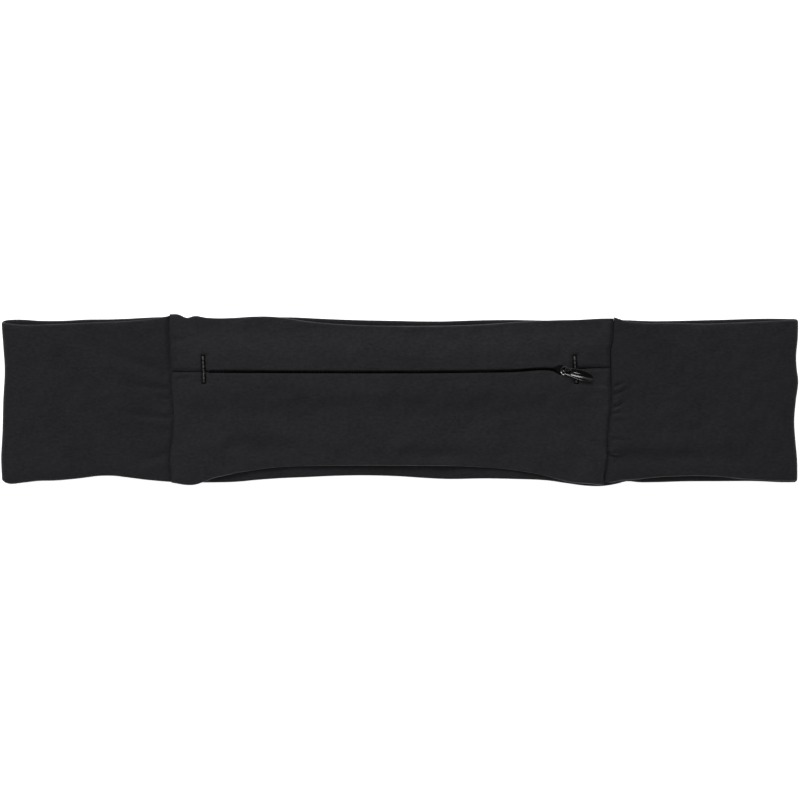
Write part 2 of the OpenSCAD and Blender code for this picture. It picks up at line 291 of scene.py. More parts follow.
def crease_field(x, y):
    total = np.zeros(np.broadcast(x, y).shape)
    for (x0, y0), (x1, y1), width, depth in CREASES:
        length = math.hypot(x1 - x0, y1 - y0)
        ux, uy = (x1 - x0) / length, (y1 - y0) / length
        along = (x - x0) * ux + (y - y0) * uy
        across = -(x - x0) * uy + (y - y0) * ux
        fade = smooth(along / 3 + 0.3) * smooth((length - along) / (0.8 * length))
        valley = -np.exp(-((across / width) ** 2))
        ridge = 0.5 * np.exp(-(((across - 1.9 * width) / (1.3 * width)) ** 2))
        total += depth * fade * (valley + ridge)
    return total


SLOW_WAVES = ripples(11, 9, 70, 0.3)
MID_WAVES = ripples(12, 12, 15, 0.1)
FINE_WAVES = ripples(13, 14, 6.5, 0.022)


def cloth_sheet():
    """Simulates the front fabric as one sheet held at its folds, seams and slit, and returns its heights."""
    step = 2.2
    unit = 0.01
    xs = np.linspace(-FOLD_X, FOLD_X, round(2 * FOLD_X / step) + 1)
    ys = np.linspace(-HALF_H, HALF_H, round(2 * HALF_H / step) + 1)
    gx, gy = np.meshgrid(xs, ys, indexing="ij")
    start = ripples(5, 20, 9, 0.12)(gx, gy)
    co = np.stack([gx * unit, gy * unit, start * unit], -1).reshape(-1, 3)
    idx = np.arange(len(co)).reshape(gx.shape)
    quads = np.stack([idx[:-1, :-1], idx[1:, :-1], idx[1:, 1:], idx[:-1, 1:]], -1).reshape(-1, 4)
    mesh = bpy.data.meshes.new("cloth_sheet")
    mesh.from_pydata(co.tolist(), [], quads.tolist())
    sheet = bpy.data.objects.new("cloth_sheet", mesh)
    bpy.context.scene.collection.objects.link(sheet)

    seam = np.minimum(np.abs(gx - SEAM_L), np.abs(gx - SEAM_R))
    inside = (gx > SEAM_L) & (gx < SEAM_R)
    slit = np.where(inside, np.abs(gy - ZIP_Y), 99)
    edge = HALF_H - np.abs(gy)
    held = (seam < 1.2) | (slit < 1.2) | (edge < 1.2) | (FOLD_X - np.abs(gx) < 1.2)
    slack = 0.25 + bell(seam, 0, 12) + 0.5 * bell(slit, 0, 6)
    for name, weights in (("held", held.astype(float)), ("slack", np.clip(slack / 1.4, 0, 1))):
        group = sheet.vertex_groups.new(name=name)
        for i, w in enumerate(weights.ravel()):
            if w > 0:
                group.add([i], float(w), "REPLACE")

    cloth = sheet.modifiers.new("Cloth", "CLOTH")
    cloth.settings.quality = 6
    cloth.settings.mass = 0.2
    cloth.settings.tension_stiffness = 12
    cloth.settings.compression_stiffness = 12
    cloth.settings.shear_stiffness = 4
    cloth.settings.bending_stiffness = 0.15
    cloth.settings.air_damping = 2
    cloth.settings.vertex_group_mass = "held"
    cloth.settings.vertex_group_shrink = "slack"
    cloth.settings.shrink_min = 0.0
    cloth.settings.shrink_max = -0.035
    cloth.settings.effector_weights.gravity = 0
    frames = 24
    cloth.point_cache.frame_start = 1
    cloth.point_cache.frame_end = frames
    scene = bpy.context.scene
    for number in range(1, frames + 1):
        scene.frame_set(number)
    evaluated = sheet.evaluated_get(bpy.context.evaluated_depsgraph_get())
    out = np.zeros(len(co) * 3)
    evaluated.data.vertices.foreach_get("co", out)
    heights = out.reshape(-1, 3)[:, 2].reshape(gx.shape) / unit
    scene.frame_set(1)
    bpy.data.objects.remove(sheet)
    bpy.data.meshes.remove(mesh)
    limit = 0.5
    return xs, ys, np.clip(heights, -limit, limit)


def sample(grid, x, y):
    """Reads a height grid at places between its points."""
    xs, ys, heights = grid
    fx = np.clip((x - xs[0]) / (xs[1] - xs[0]), 0, len(xs) - 1.001)
    fy = np.clip((y - ys[0]) / (ys[1] - ys[0]), 0, len(ys) - 1.001)
    i, j = fx.astype(int), fy.astype(int)
    u, v = smooth(fx - i), smooth(fy - j)
    low = heights[i, j] * (1 - u) + heights[i + 1, j] * u
    high = heights[i, j + 1] * (1 - u) + heights[i + 1, j + 1] * u
    return low * (1 - v) + high * v


SHEET = cloth_sheet()


def front_relief(x, y):
    x, y = np.broadcast_arrays(x, y)
    total = SLOW_WAVES(x, y) + MID_WAVES(x, y) + FINE_WAVES(x, y) + crease_field(x, y)
    if SHEET is not None:
        total = total + sample(SHEET, x, y)
    return total


def seam_pinch(x, y):
    """1 away from the side seams, down to a low share in the narrow crease over them."""
    near = np.minimum(np.abs(x - SEAM_L), np.abs(x - SEAM_R))
    depth = 0.78 - np.where(x > 0, 0.15 * bell(y, -14, 14), 0.25 * smooth((6 - y) / 24))
    return 1 - depth * np.exp(-((near / 1.05) ** 1.8)) - 0.12 * np.exp(-near / 3.0)



# ---------- meshes ----------


def unit(vectors):
    return vectors / (np.linalg.norm(vectors, axis=-1, keepdims=True) + 1e-12)


def both_faces(values):
    """Values for a sheet's outer face, then the same for its inner face, in the order of its rings."""
    return np.concatenate([values, values[:, ::-1]], axis=1)


def shell_rings(mid, normal, half):
    """Closed rings round a sheet: its outer face, then its inner face backwards."""
    outer = mid + normal * half[..., None]
    inner = mid - normal * half[..., None]
    return np.concatenate([outer, inner[:, ::-1]], axis=1)


def ring_normals(rings):
    along = np.gradient(rings, axis=0)
    around = np.roll(rings, -1, 1) - np.roll(rings, 1, 1)
    n = unit(np.cross(along, around))
    half = rings.shape[1] // 2
    outward = rings[:, :half] - rings[:, ::-1][:, :half]
    return -n if np.sum(n[:, :half] * outward) < 0 else n


def ring_faces(count, size, flip):
    idx = np.arange(count * size).reshape(count, size)
    a, b = idx[:-1], idx[1:]
    sides = np.stack([a, b, np.roll(b, -1, 1), np.roll(a, -1, 1)], -1).reshape(-1, 4)
    j = np.arange(size // 2 - 1)

    def cap(row):
        return np.stack([row[j], row[j + 1], row[size - 2 - j], row[size - 1 - j]], -1)

    faces = np.concatenate([sides, cap(idx[0]), cap(idx[-1])[:, ::-1]])
    return faces[:, ::-1] if flip else faces


def make_object(name, verts, faces, material, uv=None, normals=None, painted_sheen=None):
    mesh = bpy.data.meshes.new(name)
    mesh.from_pydata((np.asarray(verts).reshape(-1, 3) * MM).tolist(), [], [list(map(int, f)) for f in faces])
    mesh.polygons.foreach_set("use_smooth", np.ones(len(mesh.polygons), bool))
    if uv is not None:
        layer = mesh.uv_layers.new(name="Weave")
        loop_verts = np.zeros(len(mesh.loops), int)
        mesh.loops.foreach_get("vertex_index", loop_verts)
        layer.data.foreach_set("uv", (np.asarray(uv).reshape(-1, 2) * MM)[loop_verts].ravel())
    if normals is not None:
        mesh.normals_split_custom_set_from_vertices(np.asarray(normals).reshape(-1, 3).tolist())
    if painted_sheen is not None:
        mesh.attributes.new("PaintedSheen", "FLOAT", "POINT").data.foreach_set("value", np.asarray(painted_sheen, float).ravel())
    mesh.update()
    obj = bpy.data.objects.new(name, mesh)
    bpy.context.scene.collection.objects.link(obj)
    obj.data.materials.append(material)
    return obj


def join(name, parts, material):
    """One object from the verts and faces of several parts."""
    verts, faces = [], []
    for part_verts, part_faces in parts:
        base = sum(map(len, verts))
        verts.append(np.asarray(part_verts, float))
        faces += [[base + int(i) for i in face] for face in part_faces]
    return make_object(name, np.concatenate(verts), faces, material)


def sheet_object(name, rings, uv, material, normals=None, painted_sheen=None):
    if normals is None:
        normals = ring_normals(rings)
    along = np.cross(rings[1, 0] - rings[0, 0], rings[0, 1] - rings[0, 0])
    flip = np.dot(along, normals[0, 0]) < 0
    faces = ring_faces(rings.shape[0], rings.shape[1], flip)
    return make_object(name, rings, faces, material, uv, normals, painted_sheen)


def flat_sheet(name, x, y, z, half, material):
    """A thin level sheet through the places given, with half its thickness on each side."""
    mid = np.stack(np.broadcast_arrays(x, y, z), -1)
    rings = shell_rings(mid, UP, np.broadcast_to(half, mid.shape[:2]))
    return sheet_object(name, rings, both_faces(mid[..., :2]), material)


def tube_mesh(rings):
    """Verts and faces of a closed tube with pointed-off ends."""
    count, size, _ = rings.shape
    idx = np.arange(count * size).reshape(count, size)
    a, b = idx[:-1], idx[1:]
    quads = np.stack([a, np.roll(a, -1, 1), np.roll(b, -1, 1), b], -1).reshape(-1, 4).tolist()
    centres = np.array([rings[0].mean(0), rings[-1].mean(0)])
    first, last = count * size, count * size + 1
    quads += [[first, int(idx[0][(j + 1) % size]), int(idx[0][j])] for j in range(size)]
    quads += [[last, int(idx[-1][j]), int(idx[-1][(j + 1) % size])] for j in range(size)]
    return np.concatenate([rings.reshape(-1, 3), centres]), quads


def circle(radius, sides=10):
    a = np.arange(sides) * 2 * math.pi / sides
    return np.stack([np.cos(a), np.sin(a)], -1) * radius


def rounded_section(width, height, power=3.5, sides=16):
    """A closed section between an oval and a rectangle."""
    ring = circle(1.0, sides)
    return np.sign(ring) * np.abs(ring) ** (2 / power) * (width / 2, height / 2)


def swept(path, section, side):
    """Verts and faces of a section carried along a path, with the section's first axis along side."""
    side = np.broadcast_to(side, path.shape)
    lift = np.cross(side, unit(np.gradient(path, axis=0)))
    section = np.broadcast_to(section, (len(path),) + section.shape[-2:])
    return tube_mesh(path[:, None] + side[:, None] * section[..., :1] + lift[:, None] * section[..., 1:])


def level_side(path):
    """The level direction across a path, at each of its points."""
    return unit(np.cross(np.gradient(path, axis=0), UP))


def lathe(profile, sides=36):
    """Verts and faces of a profile of (radius, z) turned round Z."""
    ring = circle(1.0, sides)
    return tube_mesh(np.stack([np.column_stack([ring * r, np.full(sides, z)]) for r, z in profile]))


def stitches(name, starts, ends, radius, lift, material):
    """Separate stitches, each a short thread arched over the cloth."""
    steps = np.linspace(0, 1, 7)
    taper = np.sqrt(np.clip(1 - (2 * steps - 1) ** 6, 0.15, 1))
    section = circle(radius, 7) * taper[:, None, None]
    threads = []
    for start, end in zip(np.asarray(starts, float), np.asarray(ends, float)):
        path = start + (end - start) * steps[:, None]
        path[:, 2] += lift * (np.sin(math.pi * steps) - 0.6)
        threads.append(swept(path, section, level_side(path)))
    return join(name, threads, material)


# ---------- materials ----------


class Nodes:
    """Short names for building the node tree of a material or a world."""

    def __init__(self, owner, end="Principled BSDF"):
        owner.use_nodes = True
        self.owner = owner
        self.tree = owner.node_tree
        self.end = self.tree.nodes[end]

    def put(self, value, socket):
        """Links a value that comes from another node, and sets a plain one."""
        if hasattr(value, "links"):
            self.tree.links.new(value, socket)
        else:
            socket.default_value = value

    def set(self, node, **values):
        """Sets a node's inputs and properties. An input's name has _ for a space."""
        for key, value in values.items():
            name = key.replace("_", " ")
            if name in node.inputs:
                self.put(value, node.inputs[name])
            else:
                setattr(node, key, value)
        return node

    def add(self, kind, **values):
        return self.set(self.tree.nodes.new("ShaderNode" + kind), **values)

    def finish(self, **values):
        self.set(self.end, **values)
        return self.owner

    def grain(self, place, **values):
        return self.add("TexNoise", Vector=place, **values).outputs["Fac"]

    def bands(self, place, **values):
        return self.add("TexWave", Vector=place, **values).outputs["Fac"]

    def place(self):
        return self.add("TexCoord").outputs["Object"]

    def math(self, operation, *values):
        node = self.add("Math", operation=operation)
        for value, socket in zip(values, node.inputs):
            self.put(value, socket)
        return node.outputs[0]

    def mix(self, factor, a, b):
        node = self.add("Mix", data_type="RGBA")
        for value, socket in zip((factor, a, b), (node.inputs["Factor"], node.inputs[6], node.inputs[7])):
            self.put(value, socket)
        return node.outputs[2]

    def bump(self, height, distance, strength=1.0, **base):
        """A bump by height, on top of another bump where base gives its Normal."""
        node = self.add("Bump", Height=height, Distance=distance, Strength=strength, **base)
        return node.outputs["Normal"]


DYE = (1, 0.995, 1.13)


def rgba(value, tint=(1, 1, 1)):
    return (value * tint[0], value * tint[1], value * tint[2], 1)


def knit_material(name, tone, wale=0.62, course=0.46):
    """Fine jersey knit: columns of slanted loops with painted shade in their hollows, soft fuzz, a faint
    unevenness of dye, and a painted sheen where the cloth is seen edge-on.
    """
    m = Nodes(bpy.data.materials.new(name))
    uv = m.add("UVMap", uv_map="Weave").outputs[0]
    across, along, _ = m.add("SeparateXYZ", Vector=uv).outputs
    wobble = m.grain(uv, Scale=900.0, Detail=2.0)
    drift = m.math("MULTIPLY", m.math("SUBTRACT", wobble, 0.5), 0.5)
    column = m.math("MULTIPLY_ADD", across, 1 / (wale * MM), drift)
    from_rib = m.math("ABSOLUTE", m.math("SUBTRACT", m.math("FRACT", column), 0.5))
    slant = m.math("MULTIPLY", from_rib, 1.3)
    row = m.math("MULTIPLY_ADD", along, 1 / (course * MM), slant)
    loop = m.math("SINE", m.math("MULTIPLY", row, 2 * math.pi))
    rib = m.math("SINE", m.math("MULTIPLY", from_rib, 2 * math.pi))
    knit = m.math("MULTIPLY", m.math("MULTIPLY_ADD", loop, 0.35, 0.65), rib)

    cloud = m.grain(uv, Scale=55.0, Detail=4.0, Roughness=0.6)
    fuzz = m.grain(uv, Scale=2600.0, Detail=3.0, Roughness=0.7)
    stretched = m.add("Mapping", Vector=uv, Scale=(480, 820, 1)).outputs[0]
    slub = m.grain(stretched, Scale=1.0, Detail=3.0, Roughness=0.65)
    uneven = m.math("ADD", m.math("MULTIPLY", cloud, 0.3), m.math("MULTIPLY", slub, 0.7))
    dye = m.mix(uneven, rgba(tone * 0.1, DYE), rgba(tone * 1.9, DYE))
    # Painted shade: the colour darkens in the hollows between the loops.
    hollow_shade = m.math("MULTIPLY", m.math("SUBTRACT", 1.0, knit), 0.45)
    loops = m.mix(hollow_shade, dye, rgba(tone * 0.35, DYE))
    speck = m.math("GREATER_THAN", fuzz, 0.74)
    cloth = m.mix(m.math("MULTIPLY", speck, 0.35), loops, rgba(tone * 2.4, DYE))
    # Painted sheen: a lighter tone where the surface is seen at a grazing angle, scaled by the mesh's sheen
    # share.
    facing = m.add("LayerWeight", Blend=0.5).outputs["Facing"]
    sheen_mask = m.add("Attribute", attribute_name="PaintedSheen").outputs["Fac"]
    painted_sheen = m.math("MULTIPLY", m.math("POWER", facing, 2.2), sheen_mask)

    soft = m.bump(slub, 0.00018, 0.6)
    fluffy = m.bump(fuzz, 0.00005, 0.5, Normal=soft)
    return m.finish(
        Base_Color=m.mix(painted_sheen, cloth, rgba(tone * 5.5, DYE)),
        Roughness=m.math("MULTIPLY_ADD", fuzz, 0.2, 0.72),
        Specular_IOR_Level=0.12,
        Sheen_Weight=0.12,
        Sheen_Roughness=0.3,
        Sheen_Tint=(0.8, 0.8, 0.85, 1),
        Normal=m.bump(knit, 0.00009, 0.8, Normal=fluffy),
    )


def twill_material(name, tone, scale=1400.0):
    """Woven tape: a fine herringbone."""
    m = Nodes(bpy.data.materials.new(name))
    along, across, _ = m.add("SeparateXYZ", Vector=m.place()).outputs
    zig = m.math("PINGPONG", m.math("MULTIPLY", across, scale), 1.5)
    wave = m.math("SINE", m.math("MULTIPLY", m.math("MULTIPLY_ADD", along, scale, zig), 3.0))
    shade = m.math("MULTIPLY_ADD", wave, 0.5, 0.5)
    return m.finish(
        Base_Color=m.mix(shade, rgba(tone * 0.6), rgba(tone * 1.3)),
        Roughness=0.7,
        Sheen_Weight=0.2,
        Normal=m.bump(shade, 0.00008, 0.8),
    )


def thread_material(name, tone, shine=0.5):
    """Twisted polyester thread with a slight shine."""
    m = Nodes(bpy.data.materials.new(name))
    twist = m.bands(m.place(), Scale=900.0, Distortion=1.5, bands_direction="DIAGONAL")
    return m.finish(
        Base_Color=m.mix(twist, rgba(tone * 0.65), rgba(tone * 1.25)),
        Roughness=0.5,
        Specular_IOR_Level=shine,
        Sheen_Weight=0.4 * shine,
        Normal=m.bump(twist, 0.00004, 0.7),
    )


def metal_material(name, tone, roughness, coat):
    """Black electroplate with handling marks and a little wear in scattered spots."""
    m = Nodes(bpy.data.materials.new(name))
    place = m.place()
    marks = m.grain(place, Scale=700.0, Detail=5.0, Roughness=0.65)
    streaks = m.grain(place, Scale=160.0, Detail=2.0)
    worn = m.math("GREATER_THAN", marks, 0.7)
    return m.finish(
        Base_Color=m.mix(m.math("MULTIPLY", worn, 0.25), rgba(tone), rgba(tone * 5)),
        Metallic=1.0,
        Roughness=m.math("MULTIPLY_ADD", streaks, 0.12, roughness - 0.06),
        Coat_Weight=coat,
        Coat_Roughness=0.08,
        Normal=m.bump(marks, 0.00001, 0.5),
    )


def nylon_material(name, tone):
    """Monofilament nylon teeth."""
    m = Nodes(bpy.data.materials.new(name))
    marks = m.grain(m.place(), Scale=1200.0, Detail=3.0)
    return m.finish(
        Base_Color=m.mix(marks, rgba(tone * 0.7), rgba(tone * 1.4)),
        Roughness=0.38,
        Normal=m.bump(marks, 0.00003, 0.5),
    )


def satin_material(name, tone):
    """Blank satin label with fine weft lines."""
    m = Nodes(bpy.data.materials.new(name))
    weft = m.bands(m.place(), Scale=1500.0, Distortion=0.4, bands_direction="Y")
    return m.finish(
        Base_Color=m.mix(weft, rgba(tone * 0.88), rgba(tone, (1, 1, 0.97))),
        Roughness=0.35,
        Sheen_Weight=0.3,
        Normal=m.bump(weft, 0.00003, 0.6),
    )


BAND_KNIT = knit_material("band_knit", 0.0172)
PANEL_KNIT = knit_material("panel_knit", 0.0193)
# Near-black thread for the seam cords and tape stitching: partly the thread's own colour, partly painted
# shade in the seam creases.
SEAM_THREAD = thread_material("seam_thread", 0.003, 0.05)
# Light tone for the bartack core: a painted highlight on the tack's ridge.
TACK_HIGHLIGHT_THREAD = thread_material("tack_highlight_thread", 0.07, 0.2)
# Near-black thread for the bartack zigzag: partly its own colour, partly painted shade round the tack's
# dimple.
TACK_DARK = thread_material("tack_dark", 0.003, 0.05)
TAPE_TWILL = twill_material("tape_twill", 0.005)
# Near-black coil: partly its own black nylon, partly painted shade inside the slit.
COIL_NYLON = nylon_material("coil_nylon", 0.006)
# Very dark slider metal: partly its black plating, partly painted shade in the slit round the slider.
SLIDER_METAL = metal_material("slider_metal", 0.03, 0.4, 0.1)
BAIL_METAL = metal_material("bail_metal", 0.08, 0.14, 0.2)
TAB_METAL = metal_material("tab_metal", 0.10, 0.15, 0.2)
LABEL_SATIN = satin_material("label_satin", 0.7)


# ---------- band ----------

COURSE = 1.5
FINE_COURSE = 0.7
FOLD_STEPS = 14


def band_path():
    """Stations along the band, right seam to left seam by way of the back: x, and the way out of the loop."""
    turn = np.radians(np.linspace(90, -90, FOLD_STEPS + 1)[1:-1])
    front_r = spaced(SEAM_R, FOLD_X, COURSE, FINE_COURSE)
    back = spaced(FOLD_X, -FOLD_X, COURSE + 0.4)
    front_l = spaced(-FOLD_X, SEAM_L, COURSE, FINE_COURSE)
    x = np.concatenate([front_r, 0 * turn + FOLD_X, back, 0 * turn - FOLD_X, front_l])
    out_x = np.concatenate([0 * front_r, np.cos(turn), 0 * back, -np.cos(turn), 0 * front_l])
    out_z = np.concatenate([0 * front_r + 1, np.sin(turn), 0 * back - 1, -np.sin(turn), 0 * front_l + 1])
    return x, np.stack([out_x, out_z], -1)


def band_edges(path_x, out):
    """Top and bottom edges of the band at each station."""
    x = path_x + out[:, 0] * (END_X - FOLD_X)
    right_share = (x - SEAM_R) / (END_X - SEAM_R)
    left_share = (SEAM_L - x) / (END_X + SEAM_L)
    back_share = (x + END_X) / (2 * END_X)
    front_top = np.where(x > 0, RIGHT_TOP(right_share), LEFT_TOP(left_share))
    front_bottom = np.where(x > 0, RIGHT_BOTTOM(right_share), LEFT_BOTTOM(left_share))
    front = smooth(0.5 + out[:, 1] / 2)
    top = HALF_H + front * front_top + (1 - front) * BACK_EDGE_TOP(back_share)
    bottom = -HALF_H - front * front_bottom - (1 - front) * BACK_EDGE_BOTTOM(back_share)
    return top, bottom


def band_faces(x, y, out, from_edge):
    """How far the band's outer and inner faces stand from the loop's middle."""
    rounding = 1.5
    edge = np.sqrt(np.clip(1 - (1 - np.clip(from_edge / rounding, 0, 1)) ** 2, 0.03, 1))
    front = smooth(out[:, 1] * 4)[:, None]
    fold_fade = smooth((FOLD_X - np.abs(x)) / 5)
    relief = front_relief(x, y) * np.clip(from_edge / 3, 0, 1) * front * fold_fade
    puff = 1 + 0.25 * front * smooth(from_edge / 6) * fold_fade
    middle_of_plies = LOOP_HALF_GAP + LAYER_T / 2
    outer = middle_of_plies + LAYER_T / 2 * edge * puff + relief
    inner = middle_of_plies - LAYER_T / 2 * edge
    on_front = (out[:, 1] > 0.99)[:, None]
    outer = inner + (outer - inner) * np.where(on_front, seam_pinch(x, y), 1.0)
    behind = (out[:, 1] < -0.5)[:, None]
    return np.where(behind, np.minimum(outer, LOOP_HALF_GAP + LAYER_T), outer), inner


def band_arrays():
    path_x, out = band_path()
    top, bottom = band_edges(path_x, out)
    shares = spaced(0, 1, 0.0075, 0.004, 0.05)
    y = bottom[:, None] + (top - bottom)[:, None] * shares[::-1]
    x = np.broadcast_to(path_x[:, None], y.shape)
    from_edge = np.minimum(y - bottom[:, None], top[:, None] - y)
    outer, inner = band_faces(x, y, out, from_edge)

    on_front = (out[:, 1] > 0.99)[:, None]
    wave = np.where(x > 0, END_R_WAVE(y), -END_L_WAVE(y)) * smooth((np.abs(x) - FOLD_X + 16) / 16)
    lean = seam_drift(x, y) * on_front + wave
    centre = (outer + inner) / 2
    mid = np.stack([x + lean + out[:, :1] * centre, y, FOLD_Z + out[:, 1:] * centre], -1)
    normal = np.zeros_like(mid)
    normal[..., 0] = out[:, :1]
    normal[..., 2] = out[:, 1:]
    rings = shell_rings(mid, normal, (outer - inner) / 2)

    spine = mid[:, y.shape[1] // 2]
    arc = np.concatenate([[0], np.cumsum(np.linalg.norm(np.diff(spine, axis=0), axis=1))])
    uv = np.stack([np.broadcast_to(arc[:, None], y.shape), y], -1)
    painted_sheen = np.where(on_front, painted_sheen_share(x, y), 1.0)
    return path_x, out, rings, both_faces(uv), both_faces(painted_sheen)


def build_band():
    """One skin of cloth, cut into five pieces along its length."""
    x, out, rings, uv, painted_sheen = band_arrays()
    normals = ring_normals(rings)
    behind = out[:, 1] < -0.5
    past_fold = 35
    split_front = int(np.argmax(x > BEND_X + 20))
    split_right = int(np.argmax(behind & (x < FOLD_X - past_fold)))
    split_mid = int(np.argmax(behind & (x < 0)))
    split_left = int(np.argmax(behind & (x < past_fold - FOLD_X)))

    def piece(name, first, last, bodies, start, end, *nodes):
        part = slice(first, last + 1)
        cloth = sheet_object(name, rings[part], uv[part], BAND_KNIT, normals[part], painted_sheen[part])
        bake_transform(cloth)
        if nodes:
            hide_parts(*nodes)

    bend = 8.2
    near, far = (BEND_X - bend) * MM, (BEND_X + bend) * MM
    low, high = (0, 0, BACK_TOP * MM), (0, 0, FRONT_Z * MM)
    piece(
        "band_front_right", 0, split_front, ("front", "right_front"), (near, 0, 0), (far, 0, 0),
        "band_front_strip", "band_right_front",
    )
    piece(
        "band_fold_right", split_front, split_right, ("right_front", "right_back"), high, low,
        "band_right_back",
    )
    piece(
        "band_back_right", split_right, split_mid, ("right_back", "back"), (far, 0, 0), (near, 0, 0),
        "band_back",
    )
    piece("band_back_left", split_mid, split_left, ("back", "left_back"), (-near, 0, 0), (-far, 0, 0))
    piece(
        "band_fold_left", split_left, len(x) - 1, ("left_back", "left_front"), low, high,
        "band_left_back", "band_left_front",
    )


# ---------- pocket panel ----------

SLIT_GAP = 1.25
CLOSED_GAP = 0.16
PLATEAU = 6.5
FOOT = 22.0


def slit_gap(x):
    """Gap between the lips: open between the bartacks, wider where the slider parts it."""
    inside = smooth((x - TACK_L - 0.6) / 2.5) * smooth((TACK_R - 0.6 - x) / 2.5)
    widened = 3.4 * bell(x, SLIDER_X - 2.2, 2.6)
    return CLOSED_GAP + (SLIT_GAP - CLOSED_GAP) * inside + widened


def panel_height(x, y):
    """Height of the pocket fabric's outer face."""
    away = np.abs(y - slit_y(x))
    rise = ZIP_RISE * (1 - smooth((away - PLATEAU) / (FOOT - PLATEAU)))
    end = smooth((x - SEAM_L) / 15) * smooth((SEAM_R - x) / 15)
    body = LAYER_T + rise * (0.25 + 0.75 * end) + front_relief(x, y) + 0.35 * smooth(away / 18)
    tack_y = ZIP_Y + TACK_LIFT / 2
    tack = np.maximum(bell(x, TACK_L, 1.6), bell(x, TACK_R, 1.6)) * smooth((8.0 - np.abs(y - tack_y)) / 1.2)
    lip = 0.32 * np.exp(-((away / 1.3) ** 2))
    groove = 0.55 * np.exp(-((away / 1.1) ** 2)) * (1 - smooth((slit_gap(x) - CLOSED_GAP) / 0.5))
    free = smooth((x - SEAM_L - 4) / 14) * smooth((SEAM_R - 4 - x) / 14)
    sag = 0.95 * free * smooth(1 - (y - panel_bottom(x)) / 16)
    return FRONT_Z + (body - sag - 1.2 * tack - lip - groove) * seam_pinch(x, y)


def panel_profile(x, side):
    """Heights and places of the fabric's middle, from its lip over its face and round its folded edge."""
    edge = panel_top(x) if side > 0 else panel_bottom(x)
    return_z = FRONT_Z + 0.42
    z_edge = panel_height(x, edge) - PLY / 2
    radius = np.maximum((z_edge - return_z) / 2, 0.02)
    start = slit_y(x) + side * (slit_gap(x) / 2 + 0.12)
    stop = edge - side * radius

    shares = spaced(0, 1, 0.012 if side < 0 else 0.023, 0.007, 0.12)
    face_y = start[:, None] + (stop - start)[:, None] * shares
    droop = smooth((face_y - edge[:, None]) * -side / 2.2)
    face_z = panel_height(x[:, None], face_y) - PLY / 2
    face_z = face_z * droop + z_edge[:, None] * (1 - droop)
    turn = np.radians(np.linspace(90, -90, 9)[1:])
    turn_y = stop[:, None] + side * radius[:, None] * np.cos(turn)
    turn_z = (z_edge - radius)[:, None] + radius[:, None] * np.sin(turn)
    hem = np.linspace(0.7, 3.0, 4)
    hem_y = stop[:, None] - side * hem
    hem_z = (z_edge - 2 * radius)[:, None] + 0 * hem
    return np.concatenate([face_y, turn_y, hem_y], 1), np.concatenate([face_z, turn_z, hem_z], 1)


def panel_rings(side):
    """The pocket fabric above (side 1) or below (side -1) the slit."""
    places = spaced(SEAM_L + 0.05, SEAM_R - 0.05, 1.1, 0.45)
    y, z = panel_profile(places, side)
    x = np.broadcast_to(places[:, None], y.shape)
    dy, dz = np.gradient(y, axis=1), np.gradient(z, axis=1)
    length = np.hypot(dy, dz) + 1e-9
    normal = np.stack([np.zeros_like(y), -dz / length, dy / length], -1) * side
    steps = np.arange(y.shape[1])
    from_tip = np.minimum(steps, y.shape[1] - 1 - steps)
    tip_shares = np.array([0.45, 0.85, 1.0])
    half = np.broadcast_to(PLY / 2 * tip_shares[np.minimum(from_tip, 2)], y.shape)
    mid = np.stack([x + seam_drift(x, y), y, z], -1)
    moved = np.hypot(np.diff(y, axis=1), np.diff(z, axis=1))
    along = np.cumsum(np.concatenate([np.zeros((len(x), 1)), moved], 1), 1)
    uv = np.stack([x, along + 200 * (side > 0)], -1)
    return shell_rings(mid, normal, half), both_faces(uv), both_faces(painted_sheen_share(x, y))


def build_panel():
    for side, part in ((1, "upper"), (-1, "lower")):
        rings, uv, painted_sheen = panel_rings(side)
        panel = sheet_object("panel_" + part, rings, uv, PANEL_KNIT, painted_sheen=painted_sheen)
        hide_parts("front_panel_" + part, "panel_hem_" + part)
        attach(panel, "front")


def build_backing():
    """The pocket's inner ply, which follows the seams but never draws back from the left one."""
    places = spaced(SEAM_L + 0.3, SEAM_R - 0.3, 2.5)
    inset = 1.1
    top, bottom = panel_top(places) - inset, panel_bottom(places) + inset
    y = top[:, None] + (bottom - top)[:, None] * spaced(0, 1, 0.03, 0.01, 0.1)
    x = np.broadcast_to(places[:, None], y.shape)
    z = FRONT_Z + 0.17 + 0.03 * np.sin(x / 9) * np.sin(y / 7)
    drift = seam_drift(x, y)
    x = x + np.where(x < 0, np.minimum(drift, 0), drift)
    backing = flat_sheet("pocket_lining", x, y, z, 0.12, BAND_KNIT)
    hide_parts("pocket_backing")
    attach(backing, "front")


def build_seams():
    """Overlocked seam cords in the grooves between panel and band."""
    radius, pitch = 0.2, 1.5
    for side, x0, inward in (("left", SEAM_L, 0.55), ("right", SEAM_R, 0.0)):
        y = np.arange(panel_bottom(x0) + 0.8, panel_top(x0) - 0.8, 0.28)
        x = x0 + inward + seam_drift(np.full_like(y, x0), y)
        path = np.stack([x, y, FRONT_Z + 0.24 + 0.02 * np.sin(y * 1.3)], -1)
        ring = circle(1.0, 10)
        angle = np.arctan2(ring[:, 1], ring[:, 0])
        swell = 1 + 0.16 * np.sin(2 * math.pi * y[:, None] / pitch + angle)
        section = ring * (radius * swell)[..., None]
        # The cords' near-black thread is partly painted shade in the seam crease.
        cord = join("seam_cord_" + side, [swept(path, section, level_side(path))], SEAM_THREAD)
        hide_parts("side_seam_" + side)
        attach(cord, "front")


